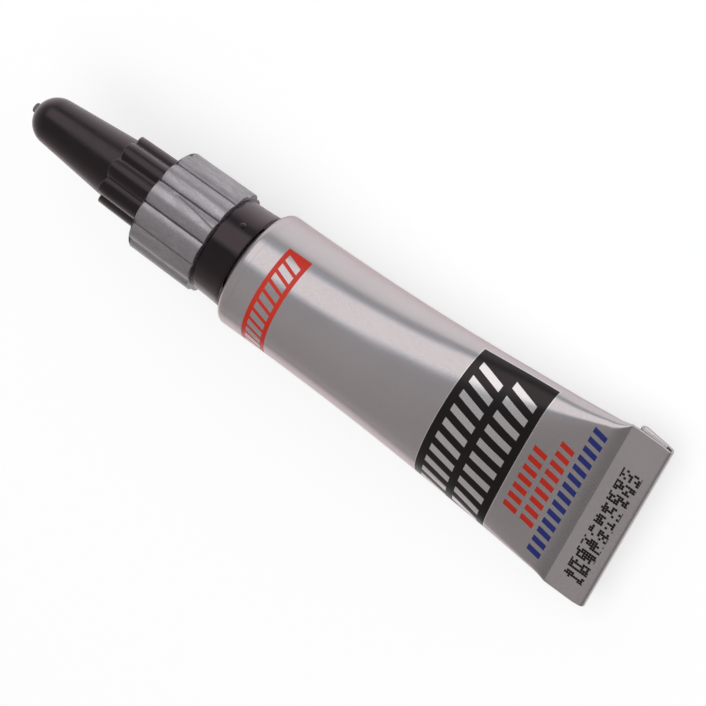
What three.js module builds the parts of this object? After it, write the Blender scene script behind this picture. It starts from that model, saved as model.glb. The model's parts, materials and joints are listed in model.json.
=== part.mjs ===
// All-purpose glue tube: a collapsible aluminium tube with a folded end, a loose neck ring,
// a screw-on nozzle with a fluted grip, and a ribbed cap with a pin that keeps the spout clear.
// Each piece lies along local X, which points to the nozzle, with the printed face to local +Z.
// Local x = 0 is the edge of the tube's shoulder. Sizes are in millimetres.
import * as THREE from 'three';

const degrees = Math.PI / 180;

// Fits
const seatGap = 0.3;

// Tube wall and barrel
const tubeRadius = 6.75;
const tubeWall = 0.13;
const bodyLength = 43.2;
const flatPower = 2.03;
const flatShare = 0.906;
const balanceX = -12;
const sectionPoints = 44;
const barrelSteps = 11;

// Shoulder and neck
const shoulderFillet = 0.8;
const shoulderAngle = 68 * degrees;
const shoulderWall = 0.5;
const neckRadius = 3.5;
const neckBore = 2.2;
const neckLength = 8.1;
const neckRimRound = 0.3;
const membraneThickness = 0.12;

// Crimp panel and the hem folded behind it
const crimpLength = 4.9;
const crimpDrop = 0.69;
const creaseLength = 1.2;
const endBendRadius = 0.27;
const hemLength = 4.2;
const hemSpring = 10.5 * degrees;
const hemRollRadius = 0.3;
const hemReturnLength = 3.0;
const hemReturnSpring = 4 * degrees;
const bendSteps = 5;

// Filling
const endSealLength = 2.2;
const fillSteps = 8;

// Neck ring
const ringLength = 3.5;
const ringRearRadius = 5.64;
const ringFrontRadius = 5.46;
const ringEdge = 0.15;
const ringPoints = 48;

// Nozzle grip
const gripLength = 7.92;
const gripRearRadius = 6.11;
const gripFrontRadius = 6.03;
const gripLobes = 13;
const gripFirstGroove = -10.6 * degrees;
const grooveDepth = 0.42;
const grooveShare = 0.06;
const crownShare = 0.3;
const lobeCrown = 0.16;
const gripEdge = 0.15;
const wedgeLobe = 2;
const wedgeLength = 6.2;
const wedgeShare = 0.38;

// Nozzle spout
const spikeLength = 1.2;
const spikeRootRadius = 1.8;
const spikeTipRadius = 1.25;
const spikeClear = 0.5;
const threadLandRadius = 2.95;
const threadLandLength = 4.4;
const threadLandChamfer = 0.5;
const spoutRootRadius = 2.3;
const spoutTipRadius = 1.15;
const spoutLength = 15.4;
const spoutTipRound = 0.25;
const orificeRadius = 0.75;

// Cap
const ribs = 15;
const firstRibGroove = 24.5 * degrees;
const ribLength = 5.85;
const ribRearRadius = 4.33;
const ribFrontRadius = 4.2;
const ribDepth = 0.55;
const ribGrooveShare = 0.14;
const ribCrown = 0.1;
const ribEndRound = 0.6;
const ribEndSteps = 3;
const noseRootRadius = 3.53;
const noseTaper = 5.27 * degrees;
const capLength = 17.15;
const noseSteps = 6;
const gateRadius = 0.5;
const gateHeight = 0.35;

// Pin
const pinRadius = 0.45;
const pinSocketDepth = 1.2;
const pinReach = 3.4;
const pinPointLength = 0.5;
const pinPointRadius = 0.25;
const pinPoints = 24;

// Stations along the axis that follow from the sizes
const filletEndX = shoulderFillet * (Math.sin(shoulderAngle) - 1);
const filletEndRadius = tubeRadius - shoulderFillet * (1 - Math.cos(shoulderAngle));
const shoulderX = (radius) => filletEndX + (filletEndRadius - radius) / Math.tan(shoulderAngle);
const neckTop = shoulderX(neckRadius) + neckLength;
const membraneTop = neckTop + seatGap + membraneThickness;
const ringRear = shoulderX(ringRearRadius) + seatGap / Math.sin(shoulderAngle);
const ringFront = ringRear + ringLength;
const gripRear = ringFront + seatGap;
const gripFront = gripRear + gripLength;
const spikeTip = membraneTop + spikeClear;
const nozzleCeiling = spikeTip + spikeLength;
const nozzleBore = neckRadius + seatGap;
const threadLandEnd = gripFront + threadLandLength;
const spoutTip = gripFront + spoutLength;
const capRear = gripFront + seatGap;
const ribFront = capRear + ribLength;
const capTip = capRear + capLength;
const capInnerEnd = spoutTip + seatGap;
const pinRear = capInnerEnd + pinSocketDepth - seatGap;

// Joins rings of equally many points into one closed skin. With loop set, the last ring joins the
// first. Otherwise a fan closes each end.
function skinRings(rings, loop) {
  const count = rings[0].length;
  const positions = rings.flat().flatMap((point) => point.toArray());
  const faces = [];
  const bands = loop ? rings.length : rings.length - 1;
  for (let band = 0; band < bands; band += 1) {
    const start = band * count;
    const next = ((band + 1) % rings.length) * count;
    for (let i = 0; i < count; i += 1) {
      const j = (i + 1) % count;
      faces.push(start + i, start + j, next + j, start + i, next + j, next + i);
    }
  }
  if (!loop) {
    [0, rings.length - 1].forEach((end) => {
      const centre = new THREE.Vector3();
      rings[end].forEach((point) => centre.addScaledVector(point, 1 / count));
      const hub = positions.length / 3;
      positions.push(...centre.toArray());
      for (let i = 0; i < count; i += 1) {
        const here = end * count + i;
        const after = end * count + ((i + 1) % count);
        faces.push(hub, ...(end === 0 ? [after, here] : [here, after]));
      }
    });
  }
  const geometry = new THREE.BufferGeometry();
  geometry.setAttribute('position', new THREE.Float32BufferAttribute(positions, 3));
  geometry.setIndex(faces);
  geometry.computeVertexNormals();
  return geometry;
}

// Revolves a profile of (x, radius) points about local X.
function revolve(profile, segments) {
  const points = profile.map(([x, radius]) => new THREE.Vector2(radius, x));
  return new THREE.LatheGeometry(points, segments).rotateZ(-Math.PI / 2);
}

// A point at an angle round the axis, from local -Y towards local +Z.
const polar = (x, radius, angle) =>
  new THREE.Vector3(x, -radius * Math.cos(angle), radius * Math.sin(angle));

// A flattened section: two half circles joined by straight sides, given by its half height and
// the half length of its sides, drawn across local Y and the direction called up.
function flatSection(centre, up, halfHeight, halfSide) {
  const points = [];
  for (let i = 0; i < sectionPoints; i += 1) {
    const angle = ((i + 0.5) * 2 * Math.PI) / sectionPoints;
    const across = -halfHeight * Math.cos(angle) - Math.sign(Math.cos(angle)) * halfSide;
    const point = centre.clone().addScaledVector(up, halfHeight * Math.sin(angle));
    points.push(point.add(new THREE.Vector3(0, across, 0)));
  }
  return points;
}

// The barrel's section behind the shoulder, set in from the outside. Its girth stays that of the
// round tube while it flattens towards the crease and sinks to the crimp's plane.
function barrelSection(x, inset) {
  const way = -x / bodyLength;
  const flat = flatShare * way ** flatPower;
  const centre = new THREE.Vector3(x, 0, -crimpDrop * way);
  const halfHeight = (1 - flat) * tubeRadius - inset;
  const halfSide = (flat * Math.PI * tubeRadius) / 2;
  return flatSection(centre, new THREE.Vector3(0, 0, 1), halfHeight, halfSide);
}

const roundSection = (x, radius) =>
  flatSection(new THREE.Vector3(x, 0, 0), new THREE.Vector3(0, 0, 1), radius, 0);

// Evenly spaced numbers from first to last.
const spaced = (first, last, steps) =>
  Array.from({ length: steps + 1 }, (unused, i) => first + ((last - first) * i) / steps);

// The folded strip's way in the XZ plane from the crease: along the panel, round the end bend,
// back behind the panel as the hem, round the roll, and inside the hem to the free edge.
// Each stop is a place and the direction of travel, as an angle from local -X towards local -Z.
function hemPath() {
  const stops = [];
  let place = new THREE.Vector3(-bodyLength, 0, -crimpDrop);
  let heading = 0;
  const ahead = () => new THREE.Vector3(-Math.cos(heading), 0, -Math.sin(heading));
  const stop = () => stops.push({ place: place.clone(), heading });
  const run = (length) => {
    place.addScaledVector(ahead(), length);
    stop();
  };
  const bend = (radius, turn) => {
    const step = turn / bendSteps;
    const chord = 2 * radius * Math.sin(step / 2);
    for (let i = 0; i < bendSteps; i += 1) {
      heading += step / 2;
      place.addScaledVector(ahead(), chord);
      heading += step / 2;
      stop();
    }
  };
  stop();
  run(crimpLength - endBendRadius - tubeWall);
  bend(endBendRadius, Math.PI - hemSpring);
  run(hemLength);
  bend(hemRollRadius, Math.PI + hemReturnSpring);
  run(hemReturnLength);
  return stops;
}

function tubeShellGeometry() {
  const crimpHalfSide = (Math.PI * tubeRadius) / 2 - tubeWall;
  const hem = hemPath().map(({ place, heading }) => {
    const up = new THREE.Vector3(-Math.sin(heading), 0, Math.cos(heading));
    return flatSection(place, up, tubeWall, crimpHalfSide);
  });
  const fillet = spaced(shoulderAngle, 0, bendSteps).map((angle) => roundSection(
    shoulderFillet * (Math.sin(angle) - 1),
    tubeRadius - shoulderFillet * (1 - Math.cos(angle)),
  ));
  const barrelStart = -shoulderFillet;
  const creaseStart = creaseLength - bodyLength;
  const outer = spaced(barrelStart, creaseStart, barrelSteps).slice(1);
  const inner = spaced(creaseStart, barrelStart, barrelSteps);
  const innerShoulderX = (radius) => shoulderX(radius) - shoulderWall / Math.sin(shoulderAngle);
  return skinRings([
    ...inner.map((x) => barrelSection(x, tubeWall)),
    roundSection(innerShoulderX(filletEndRadius - tubeWall), filletEndRadius - tubeWall),
    roundSection(innerShoulderX(neckBore), neckBore),
    roundSection(neckTop, neckBore),
    roundSection(neckTop, neckRadius - neckRimRound),
    roundSection(neckTop - neckRimRound, neckRadius),
    roundSection(shoulderX(neckRadius), neckRadius),
    ...fillet,
    ...outer.map((x) => barrelSection(x, 0)),
    ...hem,
  ], false);
}

// A filling between two stations of the barrel, clear of the wall.
const fillSections = (first, last, steps) =>
  spaced(first, last, steps).map((x) => barrelSection(x, tubeWall + seatGap));

const sealEnd = creaseLength + seatGap - bodyLength;
const sealStart = sealEnd + endSealLength;

const endSealGeometry = () => skinRings(fillSections(sealStart, sealEnd, 2), false);

function glueGeometry() {
  const columnRadius = neckBore - seatGap;
  const shoulderDepth = shoulderWall / Math.sin(shoulderAngle) + 2 * seatGap;
  const coneEnd = filletEndRadius - tubeWall - 2 * seatGap;
  const barrelTop = shoulderX(tubeRadius) - shoulderDepth - shoulderFillet;
  return skinRings([
    roundSection(neckTop, columnRadius),
    roundSection(shoulderX(columnRadius) - shoulderDepth, columnRadius),
    roundSection(shoulderX(coneEnd) - shoulderDepth, coneEnd),
    ...fillSections(barrelTop, sealStart + seatGap, fillSteps),
  ], false);
}

const membraneGeometry = () => revolve([
  [neckTop + seatGap, 0],
  [neckTop + seatGap, neckRadius - neckRimRound],
  [membraneTop, neckRadius - neckRimRound],
  [membraneTop, 0],
], ringPoints);

// The ring's rear face follows the shoulder's cone.
function neckRingGeometry() {
  const bore = neckRadius + seatGap;
  const rearAtBore = ringRear + shoulderX(bore) - shoulderX(ringRearRadius);
  return revolve([
    [rearAtBore, bore],
    [ringRear, ringRearRadius - ringEdge],
    [ringRear + ringEdge, ringRearRadius],
    [ringFront - ringEdge, ringFrontRadius],
    [ringFront, ringFrontRadius - ringEdge],
    [ringFront, bore],
    [rearAtBore, bore],
  ], ringPoints);
}

// Where the points of one lobe or rib lie across its pitch: in the groove, on the edges beside it
// and on the crown.
const gripPattern = [0, grooveShare, crownShare, 1 - crownShare, 1 - grooveShare];
const ribPattern = [0, ribGrooveShare, 0.5, 1 - ribGrooveShare];

// A ring of points that follows a repeated pattern. The height function gives the radius from the
// copy, the place in the pattern and its share of the pitch, and the shift moves a point round.
function patternRing(x, copies, firstAngle, pattern, radiusAt, shiftAt = () => 0) {
  const points = [];
  for (let copy = 0; copy < copies; copy += 1) {
    pattern.forEach((share, place) => {
      const angle = firstAngle + ((copy + share + shiftAt(copy, place)) * 2 * Math.PI) / copies;
      points.push(polar(x, radiusAt(place, share), angle));
    });
  }
  return points;
}

// The grip's lobes are low crowns with a narrow groove between them. Beside one groove a flat
// wedge is cut, which widens towards the tube.
function gripRing(x, inset) {
  const way = (x - gripRear) / gripLength;
  const crest = gripRearRadius + (gripFrontRadius - gripRearRadius) * way - inset;
  const radiusAt = (place, share) =>
    crest - (place === 0 ? grooveDepth : lobeCrown * (2 * share - 1) ** 2);
  const wedge = wedgeShare * Math.max(0, 1 - (x - gripRear) / wedgeLength);
  const shiftAt = (copy, place) => (copy === wedgeLobe && place === 1 ? wedge : 0);
  return patternRing(x, gripLobes, gripFirstGroove, gripPattern, radiusAt, shiftAt);
}

const nozzleRing = (x, radius) => patternRing(x, gripLobes, gripFirstGroove, gripPattern, () => radius);

const nozzleGeometry = () => skinRings([
  nozzleRing(gripRear, nozzleBore),
  nozzleRing(nozzleCeiling, nozzleBore),
  nozzleRing(nozzleCeiling, spikeRootRadius),
  nozzleRing(spikeTip, spikeTipRadius),
  nozzleRing(spikeTip + spoutTipRound, orificeRadius),
  nozzleRing(spoutTip, orificeRadius),
  nozzleRing(spoutTip, spoutTipRadius - spoutTipRound),
  nozzleRing(spoutTip - spoutTipRound, spoutTipRadius),
  nozzleRing(threadLandEnd + threadLandChamfer, spoutRootRadius),
  nozzleRing(threadLandEnd, threadLandRadius),
  nozzleRing(gripFront, threadLandRadius),
  gripRing(gripFront, gripEdge),
  gripRing(gripFront - gripEdge, 0),
  gripRing(gripRear + wedgeLength, 0),
  gripRing(gripRear + gripEdge, 0),
  gripRing(gripRear, gripEdge),
], true);

const capRing = (x, radius) => patternRing(x, ribs, firstRibGroove, ribPattern, () => radius);

// A section through the cap's ribs. Stand is how far they rise, from 0 at the nose to 1.
function ribRing(x, stand) {
  const way = (x - capRear) / ribLength;
  const crest = ribRearRadius + (ribFrontRadius - ribRearRadius) * way;
  const nose = noseRootRadius + (ribFront - x) * Math.tan(noseTaper);
  const radiusAt = (place, share) => {
    const full = crest - (place === 0 ? ribDepth : ribCrown * (2 * share - 1) ** 2);
    return nose + (full - nose) * stand;
  };
  return patternRing(x, ribs, firstRibGroove, ribPattern, radiusAt);
}

function capGeometry() {
  const threadBore = threadLandRadius + seatGap;
  const socketRadius = pinRadius + seatGap;
  const slope = Math.tan(noseTaper);
  // The nose ends in a ball that meets its cone smoothly.
  const ballRadius = (noseRootRadius - slope * (capTip - ribFront))
    / (1 / Math.cos(noseTaper) - slope);
  const ball = spaced(Math.PI / 2 - Math.asin(gateRadius / ballRadius), noseTaper, noseSteps)
    .map((angle) => capRing(capTip - ballRadius * (1 - Math.sin(angle)), ballRadius * Math.cos(angle)));
  const ribEnd = spaced(0, Math.PI / 2, ribEndSteps).map((angle) => ribRing(
    ribFront - ribEndRound * (1 - Math.cos(angle)),
    Math.sin(angle),
  ));
  return skinRings([
    capRing(capTip + gateHeight, gateRadius),
    ...ball,
    ...ribEnd,
    ribRing(capRear, 1),
    capRing(capRear, threadBore),
    capRing(threadLandEnd + seatGap, threadBore),
    capRing(threadLandEnd + threadLandChamfer + seatGap, spoutRootRadius + seatGap),
    capRing(capInnerEnd, spoutTipRadius + seatGap),
    capRing(capInnerEnd, socketRadius),
    capRing(pinRear + seatGap, socketRadius),
  ], false);
}

// The pin sits in the cap's socket and reaches into the spout's bore.
const pinGeometry = () => revolve([
  [spoutTip - pinReach, 0],
  [spoutTip - pinReach, pinPointRadius],
  [spoutTip - pinReach + pinPointLength, pinRadius],
  [pinRear, pinRadius],
  [pinRear, 0],
], pinPoints);

const finish = (color, roughness, metalness) =>
  new THREE.MeshStandardMaterial({ color, roughness, metalness });

const silverLacquer = finish(0xb4b1b4, 0.35, 0.9);
const greyPlastic = finish(0x969496, 0.45, 0.2);
const blackPlastic = finish(0x231f20, 0.4, 0);
const bareFoil = finish(0xc8c8c8, 0.3, 1);
const sealLatex = finish(0xd8c8a0, 0.7, 0);
const clearGlue = finish(0xe8e2cc, 0.2, 0);
const pinSteel = finish(0xb8b8bc, 0.25, 1);

function piece(name, geometry, material) {
  const mesh = new THREE.Mesh(geometry, material);
  mesh.name = name;
  return mesh;
}

const pieces = [
  piece('tube_shell', tubeShellGeometry(), silverLacquer),
  piece('neck_membrane', membraneGeometry(), bareFoil),
  piece('end_seal', endSealGeometry(), sealLatex),
  piece('glue_charge', glueGeometry(), clearGlue),
  piece('neck_ring', neckRingGeometry(), blackPlastic),
  piece('nozzle', nozzleGeometry(), greyPlastic),
  piece('seal_pin', pinGeometry(), pinSteel),
  piece('cap_shell', capGeometry(), blackPlastic),
];

// The filled tube lies on its belly and touches the surface below its balance point, so its axis
// rises towards the nozzle by the belly's slope there.
function restLean() {
  const way = -balanceX / bodyLength;
  const swell = tubeRadius * flatShare * flatPower * way ** (flatPower - 1);
  return Math.atan((swell - crimpDrop) / bodyLength);
}

const assembly = new THREE.Group();
assembly.add(...pieces);
assembly.rotation.y = -restLean();
assembly.updateMatrixWorld(true);

// The origin is under the middle of the part, on the surface that it lies on.
const bounds = new THREE.Box3().setFromObject(assembly, true);
const middle = bounds.getCenter(new THREE.Vector3());
assembly.position.set(-middle.x, -middle.y, -bounds.min.z);

const glueTube = new THREE.Group();
glueTube.add(assembly);

export default glueTube;
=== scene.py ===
"""Builds the looks of a collapsible aluminium glue tube around its packed construction.

Every piece is drawn in the tube's own frame, where x runs along the tube's axis towards the nozzle,
x = 0 is the edge of the shoulder and z points out of the printed face. It is then set down in the
part's frame.
"""

import functools
import json
import math

import bpy
from bpy.props import FloatProperty, FloatVectorProperty, IntProperty, PointerProperty
from mathutils import Matrix, Quaternion, Vector


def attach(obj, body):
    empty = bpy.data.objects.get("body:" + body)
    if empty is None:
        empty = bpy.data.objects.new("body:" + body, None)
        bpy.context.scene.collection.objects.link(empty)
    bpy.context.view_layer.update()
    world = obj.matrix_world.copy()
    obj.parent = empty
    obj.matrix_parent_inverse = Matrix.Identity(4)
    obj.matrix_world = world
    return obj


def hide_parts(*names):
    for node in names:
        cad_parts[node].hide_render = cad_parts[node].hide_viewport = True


bl_info = {
    "name": "Glue Tube",
    "version": (1, 0, 0),
    "blender": (4, 5, 0),
    "location": "3D View > Sidebar > Glue Tube",
    "description": "Builds a glue tube with a folded end, a fluted screw nozzle and a ribbed cap",
    "category": "Mesh",
}

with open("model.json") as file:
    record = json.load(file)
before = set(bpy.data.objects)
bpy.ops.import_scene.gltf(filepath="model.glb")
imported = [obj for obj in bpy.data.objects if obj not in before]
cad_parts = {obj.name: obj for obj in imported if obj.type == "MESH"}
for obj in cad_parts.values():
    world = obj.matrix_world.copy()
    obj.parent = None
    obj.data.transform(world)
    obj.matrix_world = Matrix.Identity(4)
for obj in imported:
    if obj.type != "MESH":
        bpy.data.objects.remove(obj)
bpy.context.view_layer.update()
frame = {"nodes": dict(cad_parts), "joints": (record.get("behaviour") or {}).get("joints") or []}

MM = 0.001
FULL_TURN = 2 * math.pi
QUARTER_TURN = math.pi / 2
PHOTO_PIXELS = 706
SENSOR_WIDTH_MM = 36.0

# The tube's axis comes from the nozzle's hinge, whose point lies in the neck.
HINGE = next(joint for joint in frame["joints"] if joint["name"] == "nozzle_turn")
HINGE_FROM_SHOULDER = 9.0 * MM
AXIS = Vector(HINGE["axis"]).normalized()
ACROSS = Vector((0, 1, 0))
FACE = AXIS.cross(ACROSS)
SHOULDER = Vector(HINGE["pos_m"]) - AXIS * HINGE_FROM_SHOULDER
SET_DOWN = Matrix.Translation(SHOULDER) @ Matrix((AXIS, ACROSS, FACE)).transposed().to_4x4()

# Points on a quarter of the oval barrel, and tries that bring the oval to the tube's girth
OVAL_STEPS = 90
OVAL_TRIES = 12

# Points round each turned skin, or round one lobe or rib of it
TUBE_POINTS = 192
RING_POINTS = 96
PIN_POINTS = 32
LOBE_POINTS = 20
RIB_POINTS = 36

# Steps along the tube's skin
CAVITY_STEPS = 24
RIM_STEPS = 4
FILLET_STEPS = 10
BARREL_STEPS = 56
CREASE_STEPS = 8
STRIP_STEPS = 6
BEND_STEPS = 12
FILM_STEPS = 40

# Steps along the skins of the ring, the nozzle and the cap
EDGE_STEPS = 5
RING_STEPS = 8
SPOUT_STEPS = 6
GRIP_STEPS = 16
BALL_STEPS = 20
NOSE_STEPS = 8
RIB_END_STEPS = 7
SKIRT_STEPS = 6

# Threads: sides of the ridge's section, steps in one turn and least steps
THREAD_SIDES = 6
THREAD_STEPS = 72
LEAST_THREAD_STEPS = 12

# How strongly the tube's columns draw together at its sides
SIDE_CROWDING = 0.35

# Column of a lobe that the wedge's line runs along, and how fast the line fades at its end
WEDGE_COLUMN = 6
WEDGE_FADE = 6
WEDGE_FADE_START = 0.3

# Distances within which points are one, and places or columns are the same
WELD = 0.0005 * MM
PLACE_SLACK = 1e-9
COLUMN_SLACK = 1e-4

# Depths under the crests in which a point belongs to the grip's side or to a rib
GRIP_SKIN = 0.1 * MM
RIB_SKIN = 0.2 * MM

# The nose: half the angle left open at its tip, its distance from the ribs, and how late the
# ribs' front ends start to step back
APEX_HOLE = 0.02
NOSE_MARGIN = 0.15 * MM
SCALLOP_POWER = 4

# The floor lies just under the tube.
FLOOR_DROP = 0.02 * MM

# Name of the attribute with each point's place on the round tube
SHEET = "sheet"

# Finishes: slow unevenness against the grain, spread of a plastic's gloss, reach of the grip's
# swirls, metal in the lacquer, dullness of its inks and depth of its dents against its specks
SLOW_SHARE = 0.07
GLOSS_SPREAD = 0.05
SWIRL_REACH = 1.6 * MM
METAL_SHARE = 0.8
INK_DULLNESS = 0.08
DENT_SHARE = 60.0

# Ink dots: radius in pitches, share that is left out, and gap as a share of a block
DOT_RADIUS = 0.56
EMPTY_DOTS = 0.36
BLOCK_GAP = 0.2


def bar_row(front, rear, first, bars, pitch):
    """A row of plain bars on the flat sheet, from sizes in millimetres, as its group's inputs."""
    row = {"Front": front, "Rear": rear, "First": first, "Pitch": pitch}
    return {**{name: size * MM for name, size in row.items()}, "Bars": bars}


BAND_ROW = bar_row(front=4.05, rear=5.95, first=6.6, bars=12, pitch=1.2)
PANEL_ROWS = (
    bar_row(front=27.0, rear=30.1, first=8.4, bars=10, pitch=1.75),
    bar_row(front=31.0, rear=34.2, first=8.4, bars=10, pitch=1.75),
)
RED_ROWS = (
    bar_row(front=36.0, rear=37.6, first=3.6, bars=7, pitch=1.2),
    bar_row(front=38.1, rear=39.7, first=5.4, bars=9, pitch=1.2),
)
BLUE_ROW = bar_row(front=40.2, rear=41.8, first=8.6, bars=14, pitch=1.2)


def length(name, millimetres, description):
    """A size that a user can change."""
    return FloatProperty(
        name=name, description=description, default=millimetres * MM, unit="LENGTH", precision=5
    )


def angle(name, degrees, description):
    """An angle that a user can change."""
    return FloatProperty(
        name=name, description=description, default=math.radians(degrees), subtype="ANGLE"
    )


def share(name, amount, description):
    """A share or strength that a user can change."""
    return FloatProperty(name=name, description=description, default=amount, min=0.0)


def colour(name, red, green, blue, description):
    """A linear colour that a user can change."""
    return FloatVectorProperty(
        name=name, description=description, default=(red, green, blue), subtype="COLOR", min=0, max=1
    )


class TubeSizes(bpy.types.PropertyGroup):
    """Sizes of the collapsible tube, its neck and its folded end."""

    radius: length("Radius", 6.75, "Outside of the round barrel")
    wall: length("Wall", 0.13, "Thickness of the foil wall with its lacquer")
    body: length("Body", 43.2, "From the shoulder's edge to the crease")
    flat_power: share("Flattening power", 2.03, "How late the barrel flattens towards the crease")
    flat_share: share("Flattening", 0.906, "How flat the barrel is where the crease starts")
    oval_power: share("Oval power", 2.26, "How late the oval part of the barrel flattens")
    oval_share: share("Oval flattening", 0.752, "How flat the oval would be at the crease")
    oval_end: share("Oval end", 0.7, "Share of the body that is a full oval")
    flat_start: share("Flat start", 0.92, "Share of the body where the faces are flat")
    fillet: length("Shoulder fillet", 0.8, "Rounding of the shoulder's edge")
    shoulder_angle: angle("Shoulder angle", 68, "Slope of the shoulder against the axis")
    shoulder_wall: length("Shoulder wall", 0.5, "Thickness of the shoulder")
    neck: length("Neck", 3.5, "Outside of the neck's thread")
    neck_core: length("Neck core", 3.18, "Neck between the turns of its thread")
    neck_bore: length("Neck bore", 2.2, "Bore of the neck")
    neck_length: length("Neck length", 8.1, "Height of the neck over the shoulder")
    neck_pitch: length("Neck pitch", 1.0, "Rise of the neck's thread in one turn")
    neck_free: share("Neck free end", 0.7, "Neck in front of its thread, in pitches")
    neck_rim: length("Neck rim", 0.3, "Rounding of the neck's mouth")
    crease: length("Crease", 1.6, "Length in which the barrel closes to the crimp")
    crimp: length("Crimp", 4.9, "Length of the flat panel")
    drop: length("Crimp drop", 0.69, "How far the panel lies behind the axis")
    end_bend: length("End bend", 0.33, "Radius of the fold at the end")
    hem: length("Hem", 3.35, "Length of the hem behind the panel")
    hem_spring: angle("Hem spring", 11.2, "How far the hem springs open")
    roll: length("Hem roll", 0.42, "Radius of the hem's second fold")
    back: length("Hem return", 2.9, "Length of the edge rolled into the hem")
    back_spring: angle("Return spring", 9.3, "How far the rolled edge closes in")
    film_gap: length("Film gap", 0.02, "Gap between the seal film in the hem and the foil")
    film_inset: length("Film inset", 0.1, "How far the seal film ends before the hem's ends")
    glue: length("Glue", 38.8, "From the shoulder's edge to the end of the glue")
    glue_gap: length("Glue gap", 0.12, "Gap between the glue and the wall")
    pinch: length("Corner pinch", 0.14, "How far the fold draws the panel's corners in")
    pinch_reach: share("Pinch reach", 1.6, "How far the pinch reaches, in radii of the end bend")


class NozzleSizes(bpy.types.PropertyGroup):
    """Sizes of the neck ring and of the nozzle with its fluted grip."""

    gap: length("Gap", 0.3, "Gap between pieces that seat on each other")
    ring: length("Ring length", 3.5, "Length of the neck ring")
    ring_rear: length("Ring rear", 5.64, "Outside of the ring by the shoulder")
    ring_front: length("Ring front", 5.46, "Outside of the ring by the grip")
    ring_edge: length("Ring edge", 0.16, "Rounding of the ring's edges")
    ring_waist: length("Ring waist", 0.03, "How far the ring's side draws in between its edges")
    ring_reach: length("Ring reach", 0.25, "How far the ring reaches into its gap to the grip")
    pip: length("Gate mark", 0.34, "Radius of the moulding mark on the ring")
    pip_x: length("Gate mark place", 2.19, "Place of the moulding mark along the axis")
    pip_angle: angle("Gate mark angle", 31.7, "Place of the moulding mark round the axis")
    grip: length("Grip length", 7.92, "Length of the fluted grip")
    grip_rear: length("Grip rear", 6.11, "Crest of the lobes by the ring")
    grip_front: length("Grip front", 6.03, "Crest of the lobes by the cap")
    grip_edge: length("Grip edge", 0.06, "Rounding of the grip's ends")
    lobes: IntProperty(name="Lobes", description="Lobes round the grip", default=13, min=3)
    first_groove: angle("First groove", -10.6, "Place of the first groove round the axis")
    groove: length("Groove depth", 0.54, "Depth of the groove between two lobes")
    groove_share: share("Groove width", 0.045, "Half the groove, as a share of a lobe")
    crown: length("Lobe crown", 0.34, "Rise of a lobe's middle over its edges")
    wedge_lobe: IntProperty(name="Wedge lobe", description="Lobe with the cut wedge", default=2)
    wedge: length("Wedge length", 6.9, "Length of the cut wedge")
    wedge_cut: length("Wedge cut", 0.09, "Depth of the line along the wedge")
    wedge_share: share("Wedge width", 0.38, "Width of the wedge's end, as a share of a lobe")
    wedge_end: share("Wedge end", 2.2, "Width where the wedge runs out, in half grooves")
    spike: length("Spike length", 1.2, "Height of the hollow piercing spike")
    spike_root: length("Spike root", 1.8, "Outside of the spike at its root")
    spike_tip: length("Spike tip", 1.25, "Outside of the spike at its tip")
    spike_clear: length("Spike clearance", 0.5, "Distance of the spike from the membrane")
    membrane: length("Membrane", 0.12, "Thickness of the membrane on the neck")
    land: length("Land", 2.95, "Outside of the cap's thread")
    land_core: length("Land core", 2.68, "Land between the turns of the thread")
    land_length: length("Land length", 4.4, "Length of the threaded land")
    land_lead: length("Land lead", 3.0, "Rise of the cap's thread in one turn")
    land_starts: IntProperty(name="Thread starts", description="Starts of the cap's thread", default=2)
    land_thread_start: length("Land thread start", 0.5, "Land behind the cap's thread")
    land_thread_end: length("Land thread end", 0.6, "Land in front of the cap's thread")
    chamfer: length("Land chamfer", 0.5, "Slope between the land and the spout")
    spout_root: length("Spout root", 2.3, "Outside of the spout by the land")
    spout_tip: length("Spout tip", 1.15, "Outside of the spout's tip")
    spout: length("Spout length", 15.4, "Length of the spout from the grip")
    spout_round: length("Spout rounding", 0.25, "Rounding of the spout's tip")
    orifice: length("Orifice", 0.75, "Bore of the spout")


class CapSizes(bpy.types.PropertyGroup):
    """Sizes of the ribbed cap and of its pin."""

    ribs: IntProperty(name="Ribs", description="Ribs round the skirt", default=9, min=3)
    first_rib: angle("First rib groove", 4.9, "Place of the first groove round the axis")
    skirt: length("Skirt", 5.62, "Length of the ribbed skirt")
    rib_rear: length("Rib rear", 4.33, "Crest of the ribs by the grip")
    rib_front: length("Rib front", 4.2, "Crest of the ribs by the nose")
    rib_depth: length("Rib depth", 0.5, "Depth of the groove between two ribs")
    rib_crown: share("Rib crown", 2.0, "Low for slim crests, high for broad ones")
    rib_round: length("Rib end", 0.15, "Rounding of the ribs' front ends")
    rib_scallop: length("Rib scallop", 0.4, "How far the front ends step back in the grooves")
    edge: length("Skirt edge", 0.12, "Bevel of the skirt's rear edges")
    nose_root: length("Nose root", 3.53, "Outside of the nose where the ribs end")
    nose_taper: angle("Nose taper", 5.27, "Slope of the nose's side")
    cap: length("Cap length", 17.15, "Length of the whole cap")
    nub: length("Gate nub", 0.56, "Radius of the moulding nub on the tip")
    nub_height: length("Nub height", 0.35, "Height of the moulding nub")
    nub_edge: length("Nub edge", 0.08, "Bevel of the nub's end")
    nub_sink: length("Nub sink", 0.2, "How far the nub reaches into the nose")
    pin: length("Pin", 0.45, "Radius of the clearing pin")
    socket: length("Pin socket", 1.2, "Depth of the pin's socket in the cap")
    reach: length("Pin reach", 3.4, "How far the pin reaches into the spout")
    point: length("Pin point", 0.5, "Length of the pin's tapered point")
    point_radius: length("Pin point radius", 0.25, "Radius of the pin's end")
    pin_chamfer: length("Pin chamfer", 0.1, "Bevel of the pin's two ends")


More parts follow.
